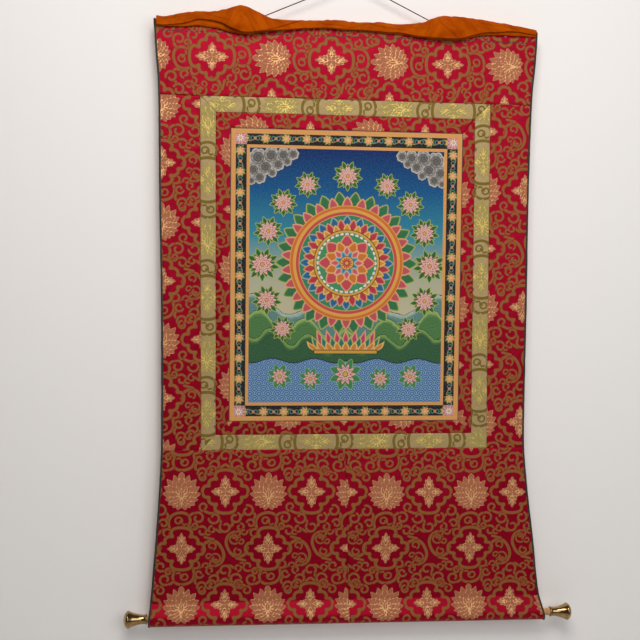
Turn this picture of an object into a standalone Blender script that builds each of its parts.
"""Thangka scroll painting, hanging from its cord.

Built in metres from the centre of the painted canvas: x to the viewer's right,
z up, y away from the viewer. world() then moves everything so that the point
where the cord hangs is the origin.
"""
import math

import bmesh
import bpy
from mathutils import Euler, Vector

# The hanging point, seen from the painting's centre.
HANG_X = 0.0075
HANG_Y = 0.0120
HANG_Z = 0.5170

# Cloth thicknesses, the gap between neighbours and the spacing of the surface grid.
BROCADE = 0.0016
CANVAS = 0.0012
BINDING = 0.0008
SILK = 0.0010
GAP = 0.0003
GRID = 0.030

# Outer edge of the scroll: height above the painting's centre, edge's x.
LEFT_EDGE = (
    (0.450, -0.3375), (0.391, -0.3337), (0.324, -0.3287), (0.128, -0.3260), (-0.043, -0.3225),
    (-0.287, -0.3215), (-0.340, -0.3230), (-0.427, -0.3280), (-0.533, -0.3363), (-0.630, -0.3445),
)
RIGHT_EDGE = (
    (0.450, 0.3370), (0.391, 0.3345), (0.317, 0.3287), (0.140, 0.3252), (-0.074, 0.3255),
    (-0.255, 0.3260), (-0.309, 0.3272), (-0.400, 0.3365), (-0.474, 0.3470), (-0.567, 0.3595), (-0.630, 0.3735),
)

# Corners of the frames round the painting, as (x, z): top left, top right, bottom right, bottom left.
BAND_OUTER = ((-0.2570, 0.3082), (0.2529, 0.3077), (0.2571, -0.3042), (-0.2524, -0.3054))
BAND_INNER = ((-0.2300, 0.2812), (0.2255, 0.2804), (0.2285, -0.2776), (-0.2272, -0.2787))
CANVAS_EDGE = ((-0.2045, 0.2551), (0.2045, 0.2552), (0.2045, -0.2551), (-0.2045, -0.2552))

# The seam that joins the two widths of the lower cloth.
SEAM_TOP_X = 0.0012
SEAM_BOTTOM_X = 0.0115

# Soft swellings of the hanging cloth: centre x, centre z, half width, half height, forward.
SWELLS = (
    (0.020, -0.425, 0.420, 0.085, 0.0065),
    (0.235, -0.395, 0.050, 0.110, 0.0030),
    (-0.255, -0.430, 0.055, 0.100, 0.0024),
    (0.085, -0.480, 0.045, 0.070, -0.0016),
    (0.318, 0.020, 0.030, 0.210, 0.0036),
    (-0.316, -0.110, 0.028, 0.190, 0.0028),
    (-0.100, 0.365, 0.150, 0.035, 0.0018),
    (0.210, 0.350, 0.090, 0.040, -0.0014),
    (0.060, 0.090, 0.120, 0.110, 0.0010),
    (-0.110, -0.140, 0.100, 0.090, -0.0010),
)

# Top hem: a flat pocket turned to the back.
HEM_TOP_Z = 0.4365
HEM_STITCH_Z = 0.4165
HEM_END_Z = 0.4085
HEM_RADIUS = 0.0026
# The turned-in layer of a hem lies this far behind the front and is drawn in from the bound edge.
HEM_LAID = 0.0021
HEM_DRAWN_IN = 0.0024

# Dowel pocket at the foot.
POCKET_STITCH_Z = -0.5760
POCKET_END_Z = -0.5665
POCKET_RADIUS = 0.0137
DOWEL_LEFT_Z = -0.6018
DOWEL_RIGHT_Z = -0.6055
DOWEL_REACH = 0.3600

# Dowel and knobs.
DOWEL_RADIUS = 0.0116
DOWEL_END_LEFT = -0.3365
DOWEL_END_RIGHT = 0.3625
PEG_RADIUS = 0.0066
PEG_IN_KNOB = 0.0215
KNOB_LEFT_X = -0.3452
KNOB_RIGHT_X = 0.3810
KNOB_BORE = 0.0069
KNOB_BORE_DEPTH = 0.0225
# Turned profile of a knob from its mouth outwards: distance, radius.
KNOB_PROFILE = (
    (0.0000, 0.0086), (0.0006, 0.0091), (0.0016, 0.0091), (0.0024, 0.0084), (0.0050, 0.0081),
    (0.0090, 0.0082), (0.0140, 0.0090), (0.0195, 0.0104), (0.0245, 0.0121), (0.0288, 0.0140),
    (0.0310, 0.0151), (0.0322, 0.0154), (0.0334, 0.0150), (0.0356, 0.0133), (0.0377, 0.0104),
    (0.0392, 0.0068), (0.0400, 0.0032),
)
KNOB_LENGTH = 0.0403
# The knobs sit a little loose on their pegs and sag from the dowel's line.
KNOB_SAG = math.radians(0.6)

# Edge binding: a folded strip round each side edge, as (inwards from the edge, in front of the cloth).
BINDING_SECTION = (
    (0.0036, 0.0015), (0.0019, 0.0015), (0.00084, 0.00106), (0.0004, 0.0),
    (0.00084, -0.00106), (0.0019, -0.0015), (0.0036, -0.0015),
)
BROCADE_INSET = 0.0019

# Gathered silk: x, upper line z, lower line z, how high the outer fold's edge stands (0 to 1), bulge forward.
VEIL = (
    (-0.3314, 0.4425, 0.4235, 0.10, 0.0000),
    (-0.3180, 0.4412, 0.4225, 0.14, 0.0004),
    (-0.2850, 0.4490, 0.4228, 0.25, 0.0012),
    (-0.2600, 0.4515, 0.4250, 0.50, 0.0022),
    (-0.2320, 0.4530, 0.4225, 0.46, 0.0042),
    (-0.2050, 0.4600, 0.4165, 0.16, 0.0072),
    (-0.1870, 0.4640, 0.4135, 0.06, 0.0082),
    (-0.1660, 0.4578, 0.4158, 0.10, 0.0060),
    (-0.1440, 0.4470, 0.4190, 0.18, 0.0034),
    (-0.1190, 0.4432, 0.4220, 0.30, 0.0018),
    (-0.0775, 0.4428, 0.4262, 0.36, 0.0010),
    (-0.0500, 0.4440, 0.4278, 0.42, 0.0006),
    (-0.0220, 0.4455, 0.4272, 0.34, 0.0008),
    (0.0060, 0.4432, 0.4268, 0.30, 0.0004),
    (0.0310, 0.4430, 0.4264, 0.42, 0.0006),
    (0.0560, 0.4445, 0.4232, 0.40, 0.0012),
    (0.0820, 0.4425, 0.4230, 0.32, 0.0010),
    (0.1080, 0.4440, 0.4205, 0.36, 0.0022),
    (0.1330, 0.4482, 0.4180, 0.34, 0.0042),
    (0.1520, 0.4568, 0.4165, 0.20, 0.0064),
    (0.1720, 0.4590, 0.4148, 0.06, 0.0080),
    (0.1930, 0.4592, 0.4165, 0.10, 0.0066),
    (0.2180, 0.4570, 0.4225, 0.24, 0.0044),
    (0.2450, 0.4540, 0.4265, 0.38, 0.0028),
    (0.2765, 0.4502, 0.4270, 0.56, 0.0018),
    (0.3080, 0.4452, 0.4265, 0.60, 0.0008),
    (0.3316, 0.4415, 0.4262, 0.50, 0.0000),
)
VEIL_STATIONS = 45
VEIL_INNER_Y = -0.0016
VEIL_BACK_Y = 0.0094
VEIL_BACK_DROP = 0.0110
VEIL_TURN = 0.0014

# Hanging cord.
CORD_RADIUS = 0.0009
CORD_STEP = 0.0053
# Route of the cord from its left knot over the hanging point to its right knot.
CORD_ROUTE = (
    (-0.1830, 0.0065, 0.4290), (-0.1829, 0.0085, 0.4291), (-0.1820, 0.0108, 0.4310), (-0.1780, 0.0119, 0.4358),
    (-0.1480, 0.0120, 0.4497), (-0.0884, 0.0120, 0.4757), (-0.0200, 0.0120, 0.5049), (0.0000, 0.0120, 0.5134),
    (0.0033, 0.0120, 0.5146), (0.0075, 0.0120, 0.5152), (0.0117, 0.0120, 0.5146), (0.0150, 0.0120, 0.5133),
    (0.0350, 0.0120, 0.5041), (0.0963, 0.0120, 0.4750), (0.1401, 0.0120, 0.4542), (0.1725, 0.0119, 0.4388),
    (0.1795, 0.0108, 0.4324), (0.1809, 0.0085, 0.4302), (0.1810, 0.0065, 0.4300),
)

for item in list(bpy.data.objects):
    bpy.data.objects.remove(item, do_unlink=True)
scroll = bpy.data.collections.new("thangka_scroll_painting")
bpy.context.scene.collection.children.link(scroll)


def material(name, colour, roughness, metallic=0.0):
    """A plain material in the colour that the photo shows."""
    made = bpy.data.materials.new(name)
    made.use_nodes = True
    shader = made.node_tree.nodes["Principled BSDF"]
    shader.inputs["Base Color"].default_value = (*colour, 1.0)
    shader.inputs["Roughness"].default_value = roughness
    shader.inputs["Metallic"].default_value = metallic
    made.diffuse_color = (*colour, 1.0)
    return made


def curve(table, at, column=1):
    """Reads a column of a table that runs up or down in its first column, along a smooth curve."""
    rows = sorted(table)
    at = min(max(at, rows[0][0]), rows[-1][0])
    i = 0
    while i < len(rows) - 2 and at > rows[i + 1][0]:
        i += 1
    a, b = rows[i], rows[i + 1]
    before = rows[max(i - 1, 0)]
    after = rows[min(i + 2, len(rows) - 1)]
    width = b[0] - a[0]
    t = (at - a[0]) / width
    slope_a = (b[column] - before[column]) / (b[0] - before[0]) * width
    slope_b = (after[column] - a[column]) / (after[0] - a[0]) * width
    return (
        (2 * t**3 - 3 * t**2 + 1) * a[column]
        + (t**3 - 2 * t**2 + t) * slope_a
        + (3 * t**2 - 2 * t**3) * b[column]
        + (t**3 - t**2) * slope_b
    )


def mix(a, b, t):
    """The value at t between a and b."""
    return a + (b - a) * t


def depth(x, z):
    """How far the middle of the cloth stands back from its flat plane: negative is forward."""
    fade = min(max((z - POCKET_STITCH_Z) / 0.08, 0.0), 1.0)
    fade = fade * fade * (3 - 2 * fade)
    if z > 0.38:
        fade *= max(0.0, 1.0 - (z - 0.38) / 0.04)
    total = 0.0
    for cx, cz, wide, high, forward in SWELLS:
        total -= forward * math.exp(-(((x - cx) / wide) ** 2) - ((z - cz) / high) ** 2)
    return total * fade


def world(x, y, z):
    """Moves a point from the painting's centre to the hanging point's frame."""
    return Vector((x - HANG_X, y - HANG_Y, z - HANG_Z))


def hem_path():
    """The top hem's section as (y, z, drawn in): up its back, over the top and down to the front."""
    back = 2 * HEM_RADIUS
    centre = HEM_TOP_Z - BROCADE / 2 - HEM_RADIUS
    path = [(HEM_LAID, HEM_END_Z, HEM_DRAWN_IN), (HEM_LAID, HEM_STITCH_Z, HEM_DRAWN_IN)]
    path.append((mix(HEM_LAID, back, 0.7), HEM_STITCH_Z + 0.0055, HEM_DRAWN_IN / 2))
    path.append((back, HEM_STITCH_Z + 0.0110, 0.0))
    for step in range(6):
        turn = math.pi * step / 5
        path.append((HEM_RADIUS + HEM_RADIUS * math.cos(turn), centre + HEM_RADIUS * math.sin(turn), 0.0))
    path.append((0.0, HEM_STITCH_Z + 0.0075, 0.0))
    return path


def dowel_z(x):
    """Height of the middle of the pocket: the dowel hangs a little lower on the right."""
    return mix(DOWEL_LEFT_Z, DOWEL_RIGHT_Z, (x + DOWEL_REACH) / (2 * DOWEL_REACH))


def pocket_path(x):
    """The dowel pocket's section as (y, z, drawn in): down the front, round the dowel and up the back."""
    middle = dowel_z(x)
    drop = POCKET_STITCH_Z - middle
    lean = math.acos(POCKET_RADIUS / drop)
    path = [(0.0, POCKET_STITCH_Z, 0.0)]
    steps = 13
    for step in range(steps):
        turn = mix(lean, 2 * math.pi - lean, step / (steps - 1))
        path.append((-POCKET_RADIUS * math.sin(turn), middle + POCKET_RADIUS * math.cos(turn), 0.0))
    path.append((HEM_LAID + 0.0003, POCKET_STITCH_Z - 0.0022, HEM_DRAWN_IN))
    path.append((HEM_LAID, POCKET_STITCH_Z + 0.0012, HEM_DRAWN_IN))
    path.append((HEM_LAID, POCKET_END_Z, HEM_DRAWN_IN))
    return path


def front_path(x, top, bottom):
    """The hanging front between two heights as (y, z, drawn in), a point every grid step."""
    count = max(1, round((top - bottom) / GRID))
    path = []
    for step in range(count + 1):
        z = mix(top, bottom, step / count)
        path.append((depth(x, z), z, 0.0))
    return path


def sheet(name, rows, thickness, look, even=True):
    """A closed sheet of cloth: a grid laid through the rows of points, thickened on both sides."""
    across, along = len(rows[0]), len(rows)
    made = bmesh.new()
    bmesh.ops.create_grid(made, x_segments=across - 1, y_segments=along - 1, size=1.0)
    made.verts.ensure_lookup_table()
    for j, row in enumerate(rows):
        for i, point in enumerate(row):
            made.verts[j * across + i].co = world(*point)
    mesh = bpy.data.meshes.new(name)
    made.to_mesh(mesh)
    made.free()
    mesh.shade_smooth()
    item = bpy.data.objects.new(name, mesh)
    scroll.objects.link(item)
    mesh.materials.append(look)
    solid = item.modifiers.new("Thickness", "SOLIDIFY")
    solid.thickness = thickness
    solid.offset = 0.0
    solid.use_even_offset = even
    return item


def hanging(name, left, right, path_at, columns, look, drawn=(1, 1)):
    """A brocade piece between two side lines that follows a section path in y and z."""
    rows = []
    for k, (_, height, draw) in enumerate(path_at(0.0)):
        row = []
        for i in range(columns + 1):
            start = left(height) + draw * drawn[0]
            end = right(height) - draw * drawn[1]
            x = mix(start, end, i / columns)
            y, z, _ = path_at(x)[k]
            row.append((x, y, z))
        rows.append(row)
    return sheet(name, rows, BROCADE, look)


def patch(name, corners, columns, lines, thickness, look):
    """A four-cornered piece, drawn in by half a gap, on the hanging surface."""
    inset = inset_corners(corners, GAP / 2)
    rows = []
    for j in range(lines + 1):
        v = j / lines
        row = []
        for i in range(columns + 1):
            u = i / columns
            x = mix(mix(inset[0][0], inset[1][0], u), mix(inset[3][0], inset[2][0], u), v)
            z = mix(mix(inset[0][1], inset[1][1], u), mix(inset[3][1], inset[2][1], u), v)
            row.append((x, depth(x, z), z))
        rows.append(row)
    return sheet(name, rows, thickness, look)


def inset_corners(corners, inset):
    """Moves each side of a four-cornered outline inwards and gives its new corners."""
    lines = []
    for k in range(4):
        a, b = Vector(corners[k]), Vector(corners[(k + 1) % 4])
        along = (b - a).normalized()
        inward = Vector((along.y, -along.x))
        lines.append((a + inward * inset, along))
    found = []
    for k in range(4):
        (p, d), (q, e) = lines[k - 1], lines[k]
        cross = d.x * e.y - d.y * e.x
        t = ((q.x - p.x) * e.y - (q.y - p.y) * e.x) / cross
        found.append(tuple(p + d * t))
    return found


def left_line(z):
    """Brocade's left edge, inside its binding."""
    return curve(LEFT_EDGE, z) + BROCADE_INSET


def right_line(z):
    """Brocade's right edge, inside its binding."""
    return curve(RIGHT_EDGE, z) - BROCADE_INSET


def band_line(a, b, shift):
    """The straight line from one frame corner down to another, as x at a height."""
    return lambda z: mix(a[0], b[0], (a[1] - z) / (a[1] - b[1])) + shift


def seam_line(shift):
    """The joining seam of the lower cloth, as x at a height."""
    return lambda z: mix(SEAM_TOP_X, SEAM_BOTTOM_X, (BAND_OUTER[3][1] - z) / 0.3) + shift


red = material("red_brocade", (0.290, 0.012, 0.030), 0.55)
maroon = material("red_brocade_lower", (0.185, 0.010, 0.026), 0.55)
green = material("green_gold_brocade", (0.360, 0.285, 0.105), 0.55)
paint = material("painted_canvas", (0.100, 0.180, 0.200), 0.80)
dark = material("dark_green_binding", (0.012, 0.020, 0.012), 0.70)
silk = material("orange_silk", (0.520, 0.120, 0.008), 0.45)
wood = material("dowel_wood", (0.520, 0.270, 0.100), 0.60)
brass = material("polished_brass", (0.720, 0.430, 0.130), 0.18, 1.0)
maroon_cord = material("maroon_cord", (0.060, 0.006, 0.012), 0.75)

# Red brocade: the top panel with its hem, the side panels and the two widths below.
top_seam = BAND_OUTER[0][1] + GAP / 2
foot_seam = BAND_OUTER[3][1] - GAP / 2
hanging(
    "top_panel", left_line, right_line,
    lambda x: hem_path() + front_path(x, 0.4050, top_seam), 22, red,
)
hanging(
    "left_side_panel", left_line, band_line(BAND_OUTER[0], BAND_OUTER[3], -GAP / 2),
    lambda x: front_path(x, top_seam - GAP, foot_seam + GAP), 3, red,
)
hanging(
    "right_side_panel", band_line(BAND_OUTER[1], BAND_OUTER[2], GAP / 2), right_line,
    lambda x: front_path(x, top_seam - GAP, BAND_OUTER[2][1] + GAP / 2), 3, red,
)
hanging(
    "lower_panel_left", left_line, seam_line(-GAP / 2),
    lambda x: front_path(x, foot_seam, -0.5640) + pocket_path(x), 12, maroon, (1, 0),
)
hanging(
    "lower_panel_right", seam_line(GAP / 2), right_line,
    lambda x: front_path(x, foot_seam, -0.5640) + pocket_path(x), 12, maroon, (0, 1),
)

# The green-gold band and the inner red strips, each frame cut as four mitred strips.
FRAMES = (("green_band", BAND_OUTER, BAND_INNER, green), ("inner_strip", BAND_INNER, CANVAS_EDGE, red))
SIDES = ("top", "right", "bottom", "left")
for frame_name, outer, inner, look in FRAMES:
    for k, side in enumerate(SIDES):
        after = (k + 1) % 4
        strip = (outer[k], outer[after], inner[after], inner[k])
        length = (Vector(outer[k]) - Vector(outer[after])).length
        patch(frame_name + "_" + side, strip, round(length / GRID), 1, BROCADE, look)

patch("painted_canvas", CANVAS_EDGE, 12, 16, CANVAS, paint)


def binding(name, edge, side):
    """The folded strip round a side edge, along the whole cloth from hem to pocket."""
    x_low = edge(POCKET_STITCH_Z)
    front = [(depth(edge(z), z), z, 0.0) for _, z, _ in front_path(x_low, 0.4050, -0.5640)]
    path = hem_path()[3:] + front + pocket_path(x_low)[:-3]
    rows = []
    for k, (y, z, _) in enumerate(path):
        ahead = path[min(k + 1, len(path) - 1)]
        behind = path[max(k - 1, 0)]
        run = Vector((ahead[0] - behind[0], ahead[1] - behind[1])).normalized()
        x = edge(z)
        row = []
        for inwards, front in BINDING_SECTION:
            row.append((x - side * inwards, y + run.y * front, z - run.x * front))
        rows.append(row)
    return sheet(name, rows, BINDING, dark)


binding("left_edge_binding", lambda z: curve(LEFT_EDGE, z), -1)
binding("right_edge_binding", lambda z: curve(RIGHT_EDGE, z), 1)


def veil_path(x):
    """The gathered silk's section as (y, z): up the back, over the hem and folded down, up and down."""
    top = curve(VEIL, x, 1) - SILK / 2
    low = curve(VEIL, x, 2) + SILK / 2
    share = curve(VEIL, x, 3)
    bulge = curve(VEIL, x, 4)
    turn = VEIL_TURN
    inner = VEIL_INNER_Y
    middle = inner - 2 * turn - 0.3 * bulge
    outer = middle - 2 * turn - 0.2 * bulge
    fold_low = low + turn + 0.0002
    fold_high = top - 0.0034 - turn
    crease = mix(low + 0.0008, fold_high - 0.0010, share)
    path = [(VEIL_BACK_Y, top - VEIL_BACK_DROP), (VEIL_BACK_Y, top - 0.0062), (VEIL_BACK_Y - 0.0016, top - 0.0022)]
    path += [(mix(inner, VEIL_BACK_Y, 0.55), top), (mix(inner, VEIL_BACK_Y, 0.22), top - 0.0006)]
    path += [(inner, top - 0.0036), (inner, mix(fold_low, top - 0.0036, 0.5)), (inner, fold_low)]
    for k in range(1, 4):
        angle = math.pi * k / 4
        path.append((mix(inner, middle, (1 - math.cos(angle)) / 2), fold_low - turn * math.sin(angle)))
    path += [(middle, fold_low), (middle - 0.2 * bulge, mix(fold_low, fold_high, 0.5)), (middle, fold_high)]
    for k in range(1, 4):
        angle = math.pi * k / 4
        path.append((mix(middle, outer, (1 - math.cos(angle)) / 2), fold_high + turn * math.sin(angle)))
    path += [(outer, fold_high), (outer - 0.5 * bulge, mix(crease, fold_high, 0.5)), (outer - 0.3 * bulge, crease)]
    return path


first_x = VEIL[0][0]
last_x = VEIL[-1][0]
veil_rows = []
for k in range(len(veil_path(0.0))):
    line = []
    for i in range(VEIL_STATIONS):
        x = mix(first_x, last_x, i / (VEIL_STATIONS - 1))
        y, z = veil_path(x)[k]
        line.append((x, y, z))
    veil_rows.append(line)
sheet("gathered_veil", veil_rows, SILK, silk, even=False)


def turned(name, profile, look, start, direction, droop):
    """A turned piece: its profile of (distance, radius) screwed round the axis that starts at a point."""
    mesh = bpy.data.meshes.new(name)
    points = [(radius, 0.0, -distance) for distance, radius in profile]
    edges = [(k, k + 1) for k in range(len(points) - 1)]
    mesh.from_pydata(points, edges, [])
    item = bpy.data.objects.new(name, mesh)
    scroll.objects.link(item)
    mesh.materials.append(look)
    screw = item.modifiers.new("Turning", "SCREW")
    screw.axis = "Z"
    screw.steps = 32
    screw.render_steps = 32
    screw.use_merge_vertices = True
    screw.merge_threshold = 0.00001
    screw.use_smooth_shade = True
    item.rotation_euler = Euler((0.0, -direction * (math.pi / 2 - droop), 0.0))
    item.location = world(*start)
    return item


axis_z = lambda x: dowel_z(x) - (POCKET_RADIUS - BROCADE / 2 - DOWEL_RADIUS - GAP)
slope = math.atan((DOWEL_LEFT_Z - DOWEL_RIGHT_Z) / (2 * DOWEL_REACH))
peg_left = KNOB_LEFT_X - PEG_IN_KNOB
peg_right = KNOB_RIGHT_X + PEG_IN_KNOB
dowel_profile = [(0.0, 0.0), (0.0, PEG_RADIUS)]
for distance, radius in (
    (DOWEL_END_LEFT - peg_left, PEG_RADIUS),
    (DOWEL_END_LEFT - peg_left, DOWEL_RADIUS - 0.0006),
    (DOWEL_END_LEFT - peg_left + 0.0006, DOWEL_RADIUS),
    (DOWEL_END_RIGHT - peg_left - 0.0006, DOWEL_RADIUS),
    (DOWEL_END_RIGHT - peg_left, DOWEL_RADIUS - 0.0006),
    (DOWEL_END_RIGHT - peg_left, PEG_RADIUS),
    (peg_right - peg_left, PEG_RADIUS),
    (peg_right - peg_left, 0.0),
):
    dowel_profile.append((distance, radius))
turned("dowel", dowel_profile, wood, (peg_left, 0.0, axis_z(peg_left)), 1, slope)

knob_profile = [(KNOB_BORE_DEPTH, 0.0), (KNOB_BORE_DEPTH, KNOB_BORE), (0.0, KNOB_BORE)]
knob_profile += list(KNOB_PROFILE) + [(KNOB_LENGTH, 0.0)]
turned("left_knob", knob_profile, brass, (KNOB_LEFT_X, 0.0, axis_z(KNOB_LEFT_X)), -1, KNOB_SAG - slope)
turned("right_knob", knob_profile, brass, (KNOB_RIGHT_X, 0.0, axis_z(KNOB_RIGHT_X)), 1, KNOB_SAG + slope)


def smooth_route(route, step):
    """Points an even step apart along a smooth curve through the route."""
    dense = []
    for i in range(len(route) - 1):
        a = Vector(route[max(i - 1, 0)])
        b = Vector(route[i])
        c = Vector(route[i + 1])
        d = Vector(route[min(i + 2, len(route) - 1)])
        for s in range(40):
            t = s / 40
            dense.append(
                0.5 * (2 * b + (c - a) * t + (2 * a - 5 * b + 4 * c - d) * t**2 + (3 * b - a - 3 * c + d) * t**3)
            )
    dense.append(Vector(route[-1]))
    total = sum((q - p).length for p, q in zip(dense, dense[1:]))
    count = round(total / step)
    wanted = total / count
    points, done, goal = [dense[0]], 0.0, wanted
    for p, q in zip(dense, dense[1:]):
        run = (q - p).length
        while run > 0 and done + run >= goal - 1e-9 and len(points) < count:
            points.append(p.lerp(q, (goal - done) / run))
            goal += wanted
        done += run
    points.append(dense[-1])
    return points


cord_points = smooth_route([tuple(world(*p)) for p in CORD_ROUTE], CORD_STEP)
cord_curve = bpy.data.curves.new("hanging_cord", "CURVE")
cord_curve.dimensions = "3D"
cord_curve.bevel_depth = CORD_RADIUS
cord_curve.bevel_resolution = 2
cord_curve.use_fill_caps = True
spline = cord_curve.splines.new("POLY")
spline.points.add(len(cord_points) - 1)
for slot, point in zip(spline.points, cord_points):
    slot.co = (*point, 1.0)
cord = bpy.data.objects.new("hanging_cord", cord_curve)
cord_curve.materials.append(maroon_cord)
scroll.objects.link(cord)
length = sum((q - p).length for p, q in zip(cord_points, cord_points[1:]))
print("cord length", round(length, 4), "points", len(cord_points))
